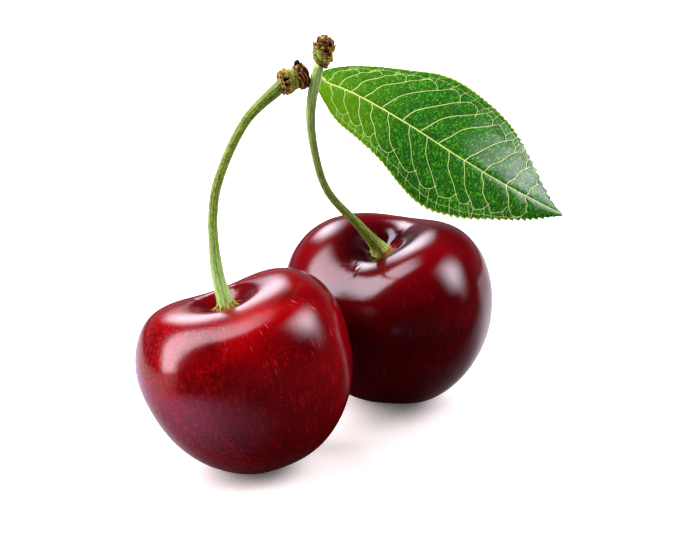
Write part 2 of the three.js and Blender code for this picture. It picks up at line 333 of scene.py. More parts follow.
# Ripe sweet cherry skin: a smooth waxy cuticle over dark red flesh. Its gloss gives sharp lights whose edges
# break up on the cells, its colour runs in fine streaks from stalk to tip, and paler breathing pores and
# flecks dot it, most of all low down. Painted shade darkens the stalk's hollow and the lower skin, and
# painted light brightens the top and one side of the pit.
def cherrySkin(add, look):
    place = add("Attribute", attribute_name="streakPlace").outputs["Vector"]
    fromStalk = add("Attribute", attribute_name="fromStalk").outputs["Fac"]
    toRight = add("SeparateXYZ", [place]).outputs[0]
    where = add("TexCoord").outputs["Object"]
    inMm = add("VectorMath", [where, (1000,) * 3])

    patchMask = add("MapRange", [add("TexNoise", [inMm, 0.1, 2]), 0.35, 0.65])
    # Painted light and shade: the red patches fade out towards the tip, so the top is drawn lighter and the
    # lower skin darker.
    paintedTopLight = add("MapRange", [fromStalk, 1.75, 0.7, 0.3])   # darkest at the tip

    zones = add("TexNoise", [inMm, 0.16, 1])
    shyness = add("MapRange", [toRight, -12, 0, -0.15, 0.13])
    zone = add("Math", [zones, shyness], operation="SUBTRACT")
    zoneMask = add("MapRange", [zone, 0.44, 0.56])   # mostly on the fruit's left cheek
    # Blotches and streaks are about 0.4 mm wide, and a streak is about five times as long.
    mottleMask = add("MapRange", [add("TexNoise", [inMm, 2.2, 2, 0.6]), 0.48, 0.66, 0, look["mottle"]])
    stretched = add("VectorMath", [place, (1, 1, 0.2)])
    streakMask = add("MapRange", [add("TexNoise", [stretched, 2.6, 2, 0.6]), 0.54, 0.7, 0, look["streaks"]])

    dashes = add("TexVoronoi", [stretched, 1.7])   # one about every 0.6 mm
    dashLine = add("MapRange", [dashes, 0.2, 0.1])
    dashKept = add("MapRange", [add("SeparateColor", [dashes.outputs["Color"]]), 0.5, 0.9, 0, look["dashes"]])
    dashSide = add("MapRange", [toRight, -6, 8, 0.25])
    dashHigh = add("MapRange", [fromStalk, 1.5, 1.0, 0.15])
    dashPlace = add("Math", [dashSide, dashHigh])

    pores = add("TexVoronoi", [inMm, 1.5])   # one about every 0.7 mm
    poreMask = add("MapRange", [pores, 0.2, 0.08])
    poreKept = add("MapRange", [add("SeparateColor", [pores.outputs["Color"]]), 0.35, 0.9])
    lowDown = add("MapRange", [fromStalk, 0.9, 1.7, 0.1, look["pores"]])

    # Painted shade: the stalk's hollow is drawn in a darker colour.
    hollowShade = add("MapRange", [fromStalk, 0.62, 0.32, 0, 0.9])
    # Painted light: the pit's wall is drawn brighter on one side only, as if lit there.
    inPit = add("MapRange", [fromStalk, 0.27, 0.14])
    litPitSide = add("MapRange", [toRight, 2, 10])   # the pit is only bright on one side
    atTip = add("MapRange", [fromStalk, 3.07, 3.11])   # the flower's scar
    coloured = layered(add, look["deep"], [
        (patchMask, paintedTopLight, look["red"]), (mottleMask, zoneMask, look["bright"]),
        (streakMask, look["bright"]), (dashLine, dashKept, dashPlace, look["pale"]),
        (poreMask, poreKept, lowDown, "#b83040"), (hollowShade, look["hollow"]), (inPit, litPitSide, look["pit"]),
        (atTip, "#7a5236")])

    cells = add("TexNoise", [inMm, 3.6, 2, 0.6])   # 0.3 mm across, coarser than real ones
    relief = add("Bump", {"Height": cells, "Strength": 1.0, "Distance": look["grain"] * mm})
    return add("BsdfPrincipled", {
        "Base Color": coloured, "Roughness": look["roughness"], "IOR": 1.47, "Normal": relief,
        "Subsurface Weight": 0.3, "Subsurface Radius": (1.0, 0.05, 0.04), "Subsurface Scale": 0.003})


# In each look, hollow is the colour of painted shade in the stalk's hollow, and pit that of painted light on
# one side of the pit.
brightSkin = makeMaterial("ripeCherrySkin", cherrySkin, dict(
    deep="#620005", red="#9c0006", bright="#bc080e", pale="#d0485a", mottle=0.7, streaks=0.42, dashes=1.0,
    pores=0.75, hollow="#640006", pit="#7c0808", grain=0.014, roughness=0.15))
darkSkin = makeMaterial("darkCherrySkin", cherrySkin, dict(
    deep="#4a0006", red="#740109", bright="#8a060e", pale="#a03040", mottle=0.4, streaks=0.3, dashes=0.3,
    pores=0.35, hollow="#240003", pit="#b01410", grain=0.01, roughness=0.13))
makeFruit("cherryLeft", fruitLeft, "cherry_left", brightSkin)
makeFruit("cherryRight", fruitRight, "cherry_right", darkSkin)


stalkFields = ("paleAndLitEnd", "ribHeight", "fringeShare", "grainPlace")
stalkForm = dict(sides=80, rows=330, ribs=11, fineRibs=17, ribTwist=0.12, ribDepth=0.024, lumpDepth=0.04,
                 footSink=0.02, tornReach=0.45, fringeWidth=0.24)
stalkLeft = dict(
    route=[[-17.25, 8.3, 27.2], [-17.75, 10.1, 34.2], [-17, 11.4, 38.6], [-13.4, 14.2, 45.8],
           [-9.3, 16.2, 49.5], [-8.75, 16.5, 50.05]],
    radii=[[0, 1.25], [0.03, 1.1], [0.09, 0.92], [0.16, 0.82], [0.3, 0.66], [0.54, 0.62], [0.76, 0.64],
           [0.9, 0.76], [0.97, 0.86], [1, 0.8]], fringe=[46, 1.2, 1.25], paleAndLitReach=[8.5, 4.0],
    paleAndLitTop=0.05, footRise=1.2, seed=5)
stalkRight = dict(
    route=[[1.6, 25.0, 26.6], [-3, 22.2, 33.1], [-4.75, 20, 40], [-5.1, 18.1, 45.8], [-4.05, 15.85, 52.6]],
    radii=[[0, 1.35], [0.03, 1.1], [0.09, 0.8], [0.18, 0.63], [0.35, 0.55], [0.65, 0.55], [0.85, 0.68],
           [0.94, 0.74], [1, 0.68]], fringe=[40, 0.6, 0.6], paleAndLitReach=[1.6, 17.0],
    paleAndLitTop=0.9, footRise=0.4, seed=9)


def footOf(fruit, footRise):   # where a stalk stands in its fruit's pit, and the way that it points there
    pit = fruit["height"] / 2 * (1 - fruit["cavity"][0] - fruit["pit"][0])
    heights = np.array([[0, 0, pit - stalkForm["footSink"]], [0, 0, pit + footRise]])
    return turned(heights, fruit) + [fruit["x"], fruit["y"], fruit["rise"]]


def shellFaces(rows, columns):   # two grids of points, one over the other, closed along their rim
    shell = rows * columns
    index = np.arange(shell).reshape(rows, columns)
    faces = []
    for a in index[:-1, :-1].ravel().tolist():
        b = a + shell
        faces += [(a, a + 1, a + columns + 1, a + columns), (b, b + columns, b + columns + 1, b + 1)]
    rim = np.r_[index[0], index[1:, -1], index[-1, -2::-1], index[-2:0:-1, 0]].tolist()
    return faces + [(a, shell + a, shell + b, b) for a, b in zip(rim, rim[1:] + rim[:1])]


def makeStalk(name, stalk, fruit, node, material):
    form = stalkForm
    rows, sides = form["rows"], form["sides"]
    centres, length = smoothRoute(np.vstack([footOf(fruit, stalk["footRise"]), stalk["route"]]), rows)
    tangents, across, behind = framesAlong(centres)
    share = np.linspace(0, 1, rows)[:, None]
    around = allRound(sides)[None, :]
    away = share * length
    twist = form["ribTwist"] * away
    ribs = np.cos(form["ribs"] * around + twist)
    ribs = ribs + 0.6 * np.cos(form["fineRibs"] * around - twist / 1.5)
    grain = np.stack(np.broadcast_arrays(np.cos(around) * 2, np.sin(around) * 2, away / 4), -1)
    ribbed = ribs * form["ribDepth"] * (0.45 + 0.9 * np.exp(-share / 0.08))
    uneven = form["lumpDepth"] * lumps(grain, 1.0, 3, stalk["seed"])
    radius = smoothValue(stalk["radii"], share) * (1 + ribbed + uneven)
    footPale, paleAndLitTopReach = stalk["paleAndLitReach"]
    # Pale young ends; the paleness near the top is also painted light, strongest on the right stalk.
    ends = np.maximum(bump(away, footPale), stalk["paleAndLitTop"] * bump(length - away, paleAndLitTopReach)) + 0 * around
    torn = 0.85 * bump(away, form["tornReach"]) + 0 * around
    parts = [(tubePoints(centres, radius, around), tubeFaces(rows, sides),
              np.r_[ends.ravel(), 1, 1], np.r_[ribs.ravel(), 0, 0], np.r_[torn.ravel(), 1, 0],
              np.vstack([grain.reshape(-1, 3), grain[0, :1], grain[-1, :1]]))]

    rng = np.random.default_rng(stalk["seed"])
    u, v = grid(np.linspace(0, 1, 8), np.linspace(-1, 1, 7))
    count, fringeLength, spreading = stalk["fringe"]
    for i in range(count):   # torn ends of skin that stand out all round the foot
        turn = 2 * math.pi * (i + rng.uniform(-0.6, 0.6)) / count
        long = fringeLength * rng.uniform(0.3, 1.3)
        half = form["fringeWidth"] / 2 * rng.uniform(0.6, 1.3) * (1 - 0.8 * u ** 1.5)
        flare = rng.uniform(0.2, 0.9) * spreading
        rise = rng.uniform(0.7, 1.1) - long * u * 0.8 + rng.uniform(-0.2, 0.5) * u ** 2
        off = stalk["radii"][0][1] - 0.08 + flare * u ** 1.4
        shells = []
        for lift in (0.04, -0.04):
            spread = turn + v * half / off + rng.uniform(-0.04, 0.04) * u
            reach = (off + lift * (1 - 0.6 * u))[..., None]
            shells.append(centres[0] + tangents[0] * rise[..., None]
                          + reach * spoke(spread, across[0], behind[0]))
        parts.append((shells, shellFaces(*u.shape), 1, 0, rng.uniform(0.8, 1), np.dstack([u, v, u * 0 + i])))
    buildPiece(name, node, material, stalkFields, parts)


# Green cherry stalk: a tough living stem with a thin dull cuticle. Ribs of paler fibre run along it over
# darker green, with olive mottling and tiny brown specks, and both ends are younger and paler; towards its
# top that paleness is also painted light, strongest on the right stalk.
def stalkGreen(add):
    paleAndLitEnd, rib, fringe = (add("Attribute", attribute_name=field).outputs["Fac"]
                            for field in stalkFields[:3])
    grain = add("Attribute", attribute_name="grainPlace").outputs["Vector"]
    where = add("TexCoord").outputs["Object"]
    fibres = add("TexNoise", [grain, 3.4, 4, 0.6])
    ribMask = add("MapRange", [rib, -1.0, 1.4])
    fibreMask = add("MapRange", [fibres, 0.36, 0.64])
    mixed = add("Math", [ribMask, 0.8, fibreMask], operation="MULTIPLY_ADD")
    pale = add("MapRange", [mixed, 0.15, 1.5])
    green = add("Mix", [pale, "#32520a", "#b4d048"])
    # The pale colour of young ends, also used as painted light near the top.
    youngAndLitGreen = add("Mix", [pale, "#70b038", "#e0ff9c"])
    dried = add("Mix", [fibres, "#5c3c04", "#e8cc40"])
    patchMask = add("MapRange", [add("TexNoise", [where, 3000, 2]), 0.42, 0.62, 0, 0.65])   # about 0.3 mm
    specks = add("TexVoronoi", [where, 2600])   # one about every 0.4 mm
    speckMask = add("MapRange", [specks, 0.3, 0.12, 0, 0.5])
    luck = add("SeparateColor", [specks.outputs["Color"]]).outputs[1]
    chosen = add("Math", [luck, 0.6], operation="GREATER_THAN")
    coloured = layered(add, green, [(patchMask, "#485808"), (paleAndLitEnd, youngAndLitGreen),
                                     (speckMask, chosen, "#3c3610"), (fringe, dried)])
    relief = add("Bump", {"Height": fibres, "Strength": 0.35, "Distance": 0.0001})
    return add("BsdfPrincipled", {
        "Base Color": coloured, "Roughness": 0.46, "IOR": 1.45, "Normal": relief, "Subsurface Weight": 0.1,
        "Subsurface Radius": (0.4, 0.6, 0.1), "Subsurface Scale": 0.0006})


greenStalk = makeMaterial("greenCherryStalk", stalkGreen)
makeStalk("stalkLeft", stalkLeft, fruitLeft, "stalk_left", greenStalk)
makeStalk("stalkRight", stalkRight, fruitRight, "stalk_right", greenStalk)


# Each spur is the woody end where a stalk grew, in mm and degrees. Turns start at the viewer's side on the
# left spur, where -90 is its top, and at the left on the right spur, where 90 is the viewer's side. A pore is
# [place along the spur, turn, radius], a ridge is [place, slant, where it is lowest, height, half width],
# a patch of living green is [place, turn, radius], a ring of bud scales is [place, how many, length, width,
# tilt outwards, turn, darkness] and a bud is [place, turn, radius, how far out, darkness].
spurLeft = dict(
    start=[-9.12, 16.36, 49.98], end=[-5.5, 17.7, 50.98], slant=[0.1, 90],
    profile=[[0, 0.9], [0.15, 1.3], [0.4, 1.58], [0.8, 1.7], [1.2, 1.64], [1.6, 1.4], [2.1, 1.34], [2.6, 1.4],
             [3, 1.48], [3.5, 1.45], [3.9, 1.2], [4.05, 0.5]],
    crust=[[0, 0.6], [0.3, 0.6], [1.2, 0.7], [1.6, 0.45], [2.3, 0.4], [2.6, 0.8], [4.05, 0.8]],
    green=[[0, 0.05], [0.9, 0.15], [1.3, 0.55], [1.6, 1], [2.2, 0.95], [2.5, 0.2], [4.05, 0]],
    pores=[[0.6, -94, 0.26], [0.45, -66, 0.36], [0.85, -60, 0.2], [0.56, -36, 0.34], [0.95, -34, 0.18],
           [0.5, -6, 0.34], [0.86, -4, 0.2], [0.66, 22, 0.24], [0.6, 105, 0.28], [0.5, 140, 0.26],
           [0.55, 180, 0.3], [0.45, 220, 0.28], [0.95, 78, 0.2], [1.15, 50, 0.16]],
    ridges=[[0.12, 0.05, 0, 0.1, 0.1], [1.36, 0.2, 60, 0.2, 0.1], [1.75, 0.42, 10, 0.16, 0.08],
            [2.05, -0.4, 30, 0.16, 0.08], [2.4, 0.12, 100, 0.14, 0.09]],
    patches=[[0.85, -48, 0.24], [1.1, -20, 0.2]],
    scales=[[2.25, 5, 0.5, 1.7, 46, 0, 1], [2.45, 6, 0.5, 1.5, 40, 25, 1.2], [2.68, 5, 0.5, 1.7, 34, 5, 1.3],
            [2.9, 6, 0.5, 1.5, 28, 32, 1.2], [3.1, 5, 0.5, 1.6, 20, 50, 1.3], [3.3, 6, 0.5, 1.4, 8, 12, 1.3],
            [0.02, 11, 0.22, 0.75, 30, 8, 0.4]],
    buds=[[2.95, -92, 0.4, 1.85, 3.0], [2.6, -70, 0.2, 1.7, 0.0], [2.9, 80, 0.26, 1.5, 0.8]], seed=21)
spurRight = dict(
    start=[-3.95, 15.8, 52.95], end=[-2.8, 15.4, 57], slant=[0.45, 180],
    profile=[[0, 0.74], [0.2, 1.0], [0.6, 1.12], [1.1, 1.3], [1.6, 1.4], [2.1, 1.4], [2.7, 1.2], [3.2, 0.95],
             [3.7, 0.7], [3.95, 0.35]],
    crust=[[0, 0.6], [0.5, 0.6], [1.6, 0.65], [2.4, 1], [3.95, 1]],
    green=[[0, 0.1], [0.5, 0.25], [1.1, 0.35], [1.6, 0.15], [2.2, 0.05], [3.95, 0]],
    pores=[[1.2, 46, 0.16], [1.6, 116, 0.24], [0.95, 96, 0.14], [2, 30, 0.24], [2.5, 92, 0.26],
           [2.1, 132, 0.26], [0.85, 132, 0.16], [1.3, 15, 0.2], [2.75, 60, 0.22], [2.4, 200, 0.26],
           [1.5, 240, 0.26], [1.9, 290, 0.26], [2.8, 330, 0.24]],
    ridges=[[0.14, 0.0, 0, 0.16, 0.1], [0.5, 0.1, 90, 0.14, 0.08], [0.85, -0.1, 120, 0.12, 0.07],
            [2.35, 0.3, 130, 0.14, 0.07], [2.9, -0.3, 100, 0.14, 0.07]],
    patches=[[1.75, 64, 0.5], [1.2, 82, 0.25], [0.8, 60, 0.2]],
    scales=[[0.3, 4, 0.3, 0.9, 26, -20, 0.9], [2.05, 3, 0.6, 0.8, 18, 110, 1.3],
            [2.35, 4, 0.6, 0.8, 20, 30, 1.2], [2.65, 4, 0.6, 0.8, 16, 75, 1.3],
            [2.9, 4, 0.7, 0.7, 12, 110, 1], [3.15, 4, 0.8, 0.6, 6, 150, 1.2],
            [3.35, 3, 0.8, 0.5, -2, 190, 1.2]],
    buds=[[1.45, 172, 0.32, 1.3, 0.1], [1.0, 150, 0.22, 1.2, 0.15], [2.1, 8, 0.24, 1.3, 0.9],
          [2.25, 40, 0.3, 1.2, 0.2], [1.35, 108, 0.26, 1.25, 0], [3.75, 150, 0.2, 0.45, 0.6]], seed=34)
spurFields = ("barkShade", "barkTone", "barkGreen", "scaleDark")
spurForm = dict(rows=150, sides=210, cellSize=0.5, poreDepth=0.6, poreLip=0.1, lumpHeight=0.14,
                crackDepth=0.14, grainDepth=0.03, scaleRows=13, scaleColumns=14, scaleThickness=0.08)


def makeSpur(name, spur, node, material):
    start, end = np.array([spur["start"], spur["end"]])
    axis = unit(end - start)
    across = unit(np.cross(axis, [0, 0, 1] if abs(axis[2]) < 0.8 else [0, 1, 0]))
    behind = np.cross(axis, across)
    form, seed = spurForm, spur["seed"]
    rng = np.random.default_rng(seed)
    length = spur["profile"][-1][0]
    tilt, towardsTilt = spur["slant"]

    def around(radius, turn, along):   # a place from its distance, turn and height on the spur's axis
        sunk = tilt * radius * np.cos(turn - math.radians(towardsTilt)) * (1 - along / length)
        return start + axis * (along - sunk)[..., None] + spoke(turn, across, behind) * radius[..., None]

    along, turn = grid(np.linspace(0, length, form["rows"]), allRound(form["sides"]))
    radius = smoothValue(spur["profile"], along)
    plain = around(radius, turn, along)
    warped = plain + 0.2 * np.stack([lumps(plain, 0.8, 2, seed + k) for k in range(3)], -1)
    crust = smoothValue(spur["crust"], along)
    raised, cell = (found.reshape(along.shape) for found in cracks(warped, form["cellSize"], seed))
    wobble = 1 + 0.35 * lumps(plain, 0.4, 2, seed + 5)

    def fromSpot(place, turnOf, size):   # how far each place is from a feature's middle, over its uneven size
        sideways = wrapped(turn - math.radians(turnOf)) * radius
        return np.hypot(along - place, sideways) / size / wobble

    cracked = crust * (1 - raised)
    height = form["lumpHeight"] * crust * lumps(plain, 0.6, 2, seed + 9) - form["crackDepth"] * cracked \
        + form["grainDepth"] * lumps(plain, 0.22, 3, seed)
    # Painted shade: the cracks between the cork's cells are drawn dark.
    shade = 1 - 0.7 * cracked
    green = smoothValue(spur["green"], along) * (1 - 0.3 * cell)
    for place, lean, lowest, high, half in spur["ridges"]:
        line = place + lean * np.cos(turn - math.radians(lowest)) + 0.1 * lumps(plain, 0.9, 2, place * 7)
        ridge = bump(along - line, half)
        height = height + high * ridge * (0.7 + 0.3 * wobble)
        # Painted shade: a dark line along one side of each ridge.
        shade = np.minimum(shade, 1 - 0.8 * bump(along - line - 1.7 * half, 0.6 * half))
        green = green * (1 - 0.8 * ridge)
    for patch in spur["patches"]:
        patch = 1 - smoothStep(0.75, 1.15, fromSpot(*patch))
        green = np.maximum(green, patch)
        height = height + 0.1 * patch
    for pore in spur["pores"]:
        gap = fromSpot(*pore)
        hollow = 1 - smoothStep(0.65, 1.05, gap)
        height = height - form["poreDepth"] * hollow + form["poreLip"] * bump(gap - 1.3, 0.25)
        # Painted shade: each pore is drawn black inside.
        shade = np.minimum(shade, 1 - hollow)
    bark = around(radius + height, turn, along).reshape(-1, 3)
    parts = [(np.vstack([bark, start, start + axis * length]), tubeFaces(form["rows"], form["sides"]),
              np.r_[shade.ravel(), 0.5, 0.5], np.r_[cell.ravel(), 0.5, 0.5], np.r_[green.ravel(), 0, 0], 0)]

    u, v = grid(np.linspace(0, 1, form["scaleRows"]), np.linspace(-1, 1, form["scaleColumns"]))
    edge = np.clip(np.maximum(np.abs(v) ** 9, 1.3 * u ** 10), 0, 1)
    for place, count, long, wide, lean, first, dark in spur["scales"]:
        for i in range(count):
            turnHere = math.radians(first + 360 * (i + rng.uniform(-0.3, 0.3)) / count)
            size = rng.uniform(0.75, 1.2)
            half = wide * size / 2 * (1 - u ** rng.uniform(2, 5)) ** 0.6
            ragged = 0.1 * lumps(np.stack([u * 4, v * 4, u * 0 + i * 7 + place * 13], -1), 1.0, 3, seed)
            at = place + rng.uniform(-0.1, 0.1) + long * size * u * (1 - 0.2 * v ** 2) + ragged * u
            core = smoothValue(spur["profile"], np.clip(at, 0, length))
            outwards = math.radians(lean + rng.uniform(-10, 12))
            lift = 0.04 + 0.1 * u + long * size * u ** 1.3 * math.sin(outwards)
            cup = 0.12 * (v ** 2 - 0.3) * rng.uniform(-1, 0.6) * (0.3 + u)
            off = np.maximum(core + lift + cup + 0.5 * ragged, 0.12)
            bent = turnHere + v * half / np.maximum(core + 0.2, 0.5) + rng.uniform(-0.3, 0.3) * u ** 1.3
            thick = form["scaleThickness"] / 2 * (1 - 0.6 * u ** 3)
            own = np.clip(dark + rng.uniform(-0.35, 0.2), 0, 1)
            # Painted shade: scales are drawn darker towards their roots.
            parts.append((
                [around(off + thick, bent, at), around(off - thick, bent, at)], shellFaces(*u.shape),
                np.clip(0.15 + 0.7 * u ** 1.5 + 0.5 * edge, 0, 1), rng.uniform(), 0,
                np.clip(own - 0.8 * edge, 0, 1)))

    theta, phi = grid(np.linspace(0, np.pi, 16)[1:-1], allRound(20))
    egg = np.vstack([onBall(theta, phi).reshape(-1, 3), [[0, 0, 1], [0, 0, -1]]]) * [1, 1, 1.2]
    for place, turnOf, size, out, dark in spur["buds"]:
        middle = around(*np.array([[out], [math.radians(turnOf)], [place]]))
        bud = egg * (size * (1 + 0.2 * lumps(egg, 0.8, 2, place * 5)))[:, None]
        # A very dark bud also takes its own near-black colour through the shade field.
        parts.append((middle + bud, tubeFaces(*theta.shape), min(1.0, 1.6 - 0.5 * dark), 0.8, 0, dark))
    buildPiece(name, node, material, spurFields, parts)


# Fruiting spur: corky bark that dried into golden-tan lumps, with painted shade that turns its cracks and
# hollows near black, still green where it is thin, and papery bud scales that go from tan at their torn edges
# to dark red-brown, with painted shade at their roots.
def spurBark(add):
    shade, tone, green, dark = (add("Attribute", attribute_name=field).outputs["Fac"] for field in spurFields)
    where = add("TexCoord").outputs["Object"]
    grain = add("TexNoise", [where, 4500, 3, 0.7])   # about 0.2 mm
    grainMask = add("MapRange", [grain, 0.3, 0.65])
    tan = add("Mix", [tone, "#b4881c", "#f4d468"])
    grained = add("Mix", [grainMask, "#7a5010", tan])
    fresh = add("Mix", [grainMask, "#80a430", "#bce070"])
    brown = add("Mix", [grainMask, "#1c0502", "#983a10"])
    browned = layered(add, grained, [(green, fresh), (dark, brown)])
    # Painted shade: the bark is drawn black in its cracks and pores, beside its ridges and at the scales'
    # roots.
    coloured = add("Mix", [add("MapRange", [shade, 0.2, 0.65]), "#0c0301", browned])   # black in the cracks
    relief = add("Bump", {"Height": grain, "Strength": 0.7, "Distance": 0.0001})
    return add("BsdfPrincipled", {
        "Base Color": coloured, "Roughness": 0.45, "IOR": 1.4, "Specular IOR Level": 0.3, "Normal": relief})


spurMaterial = makeMaterial("corkySpurBark", spurBark)
makeSpur("spurLeft", spurLeft, "spur_left", spurMaterial)
makeSpur("spurRight", spurRight, "spur_right", spurMaterial)


leafFields = ("leafPlan", "veinFoot", "veinPale", "acrossShare", "alongShare", "underside")
# Places are in mm, the sides' outlines are [share of the length, half width] and a petiole is a leaf's stalk.
leafForm = dict(
    midrib=[[-5, 18.9, 50.15], [0.3, 17.43, 48.46], [7.68, 15.67, 44.63], [14.15, 14.49, 40.61],
            [20.45, 13.77, 36.88], [27.84, 14.36, 32.59]],
    facing=[0.28, -0.7, 0.65], petiole=[[-4.95, 18.7, 50.6], [-4.4, 18.8, 50.3], [-3.2, 18.5, 49.55]],
    petioleRadii=[[0, 0.35], [0.5, 0.4], [1, 0.3]],
    back=[[0, 0.3], [0.035, 1.8], [0.12, 4.1], [0.26, 7.7], [0.4, 10.3], [0.5, 10.75], [0.66, 9.9],
          [0.8, 6.4], [0.9, 2.7], [0.96, 0.8], [1, 0.12]],
    front=[[0, 0.3], [0.035, 1.5], [0.12, 3.9], [0.22, 5], [0.33, 6.1], [0.45, 7.4], [0.56, 8.05], [0.68, 7],
           [0.8, 4.5], [0.92, 1.95], [1, 0.12]],
    arch=0.065, archPower=1.5, thickness=0.24, ribThickness=0.5, veinThickness=0.1, teeth=50, toothDepth=0.3,
    toothForward=0.25, rumple=0.07, wave=0.3, waves=2.6, quilt=0.08, quiltReach=0.9, groove=0.045,
    ribGroove=0.12, rows=400, columns=118)
# Where the side veins leave the midrib, in mm from the leaf's base, and how they bend towards the tip.
leafVeins = dict(
    back=[2.15, 3.8, 5.6, 7.4, 10.05, 13.2, 15.95, 18.8, 22.9, 25.8, 29.2, 32.2],
    front=[2.8, 4.7, 6.8, 8.7, 11.2, 14.4, 17.1, 20.5, 22.8, 25.6, 29.3, 32.2],
    bend=dict(back=[0.28, 0.055], front=[0.32, 0.1]), reach=dict(back=0.74, front=0.66),
    sideWidth=[0.064, 0.04], loopWidth=0.04, twigWidth=0.032, ribWidth=[0.125, 0.05], wander=0.16)


def veinRoutes(length):   # side veins, the loops that join their ends and the twigs beyond, on the flat blade
    rng = np.random.default_rng(12)
    routes = []   # [points as (along, out), width at each point, how pale it is]

    def addRoute(points, widths, pale):
        routes.append((np.array(points, float), np.broadcast_to(widths, len(points)), pale))

    def halfWidth(side, along):
        return float(smoothValue(leafForm[side], min(along / length, 1.0)))

    for sign, side in ((1, "back"), (-1, "front")):
        slope, curve = leafVeins["bend"][side]
        ends, twigs = [], []
        for start in leafVeins[side]:
            reach = 0.5
            for _ in range(6):   # it stops at a share of the half width that the blade has there
                reach = leafVeins["reach"][side] * halfWidth(side, start + slope * reach + curve * reach ** 2)
            steps = np.linspace(0, 1, 22)
            out = reach * steps
            along = start + slope * out + curve * out ** 2
            sway = leafVeins["wander"] * np.sin(steps * rng.uniform(6, 10) + rng.uniform(0, 6))
            along = along + sway * smoothStep(0, 0.3, out / reach)
            widths = np.linspace(*leafVeins["sideWidth"], 22) * rng.uniform(0.8, 1.1)
            addRoute(np.stack([along, sign * out], 1), widths, 1.0)
            ends.append((along[-1], reach))
        for (a, outA), (b, outB) in zip(ends, ends[1:]):
            bow = min(0.34 * (b - a), 1.1) * rng.uniform(0.6, 1.1)
            peak = [a + (b - a) * rng.uniform(0.4, 0.6), (outA + outB) / 2 + bow]
            join = [b - rng.uniform(0.1, 0.5), outB * rng.uniform(0.86, 0.97)]
            loop, _ = smoothRoute([[a, outA, 0], [(a + peak[0]) / 2, outA + 0.8 * bow, 0], peak + [0],
                                   [(b + peak[0]) / 2, (outB + peak[1]) / 2 + 0.1 * bow, 0], join + [0]], 16)
            addRoute(loop[:, :2] * [1, sign], leafVeins["loopWidth"], 0.85)
            for foot in loop[4, :2], loop[11, :2]:   # twigs that run out to the teeth
                reach = halfWidth(side, foot[0]) * 0.95 - foot[1]
                if reach > 0.4:
                    run = np.linspace(0, reach, 8)
                    lean = rng.uniform(0.1, 0.7)
                    along = foot[0] + lean * run + 0.08 * run ** 2
                    twigs.append(np.stack([along, sign * (foot[1] + run)], 1))
                    addRoute(twigs[-1], leafVeins["twigWidth"], 0.7)
        for a, b in zip(twigs, twigs[1:]):   # and close small fields between them
            addRoute([a[4], (a[4] + b[4]) / 2 + [0, sign * 0.14], b[4]], leafVeins["twigWidth"], 0.6)
    return routes


def nearestVein(plan, routes):   # for each place: the nearest vein's own point there, its width and paleness
    flat = plan.reshape(-1, 2)
    best = np.full(len(flat), 1e9)
    foot = flat + 5.0
    width = np.full(len(flat), 0.05)
    pale = np.zeros(len(flat))
    for points, widths, paleness in routes:
        low, high = points.min(0) - 1.6, points.max(0) + 1.6
        near = np.flatnonzero(((flat > low) & (flat < high)).all(1))
        at = flat[near]
        for a, b, wa, wb in zip(points, points[1:], widths, widths[1:]):
            step = b - a
            t = np.clip((at - a) @ step / (step @ step), 0, 1)
            on = a + t[:, None] * step
            thick = wa + t * (wb - wa)
            gap = np.linalg.norm(at - on, axis=1) / thick ** 0.5
            closer = gap < best[near]
            chosen = near[closer]
            best[chosen], foot[chosen] = gap[closer], on[closer]
            width[chosen], pale[chosen] = thick[closer], paleness
    return foot.reshape(plan.shape), width.reshape(plan.shape[:-1]), pale.reshape(plan.shape[:-1])


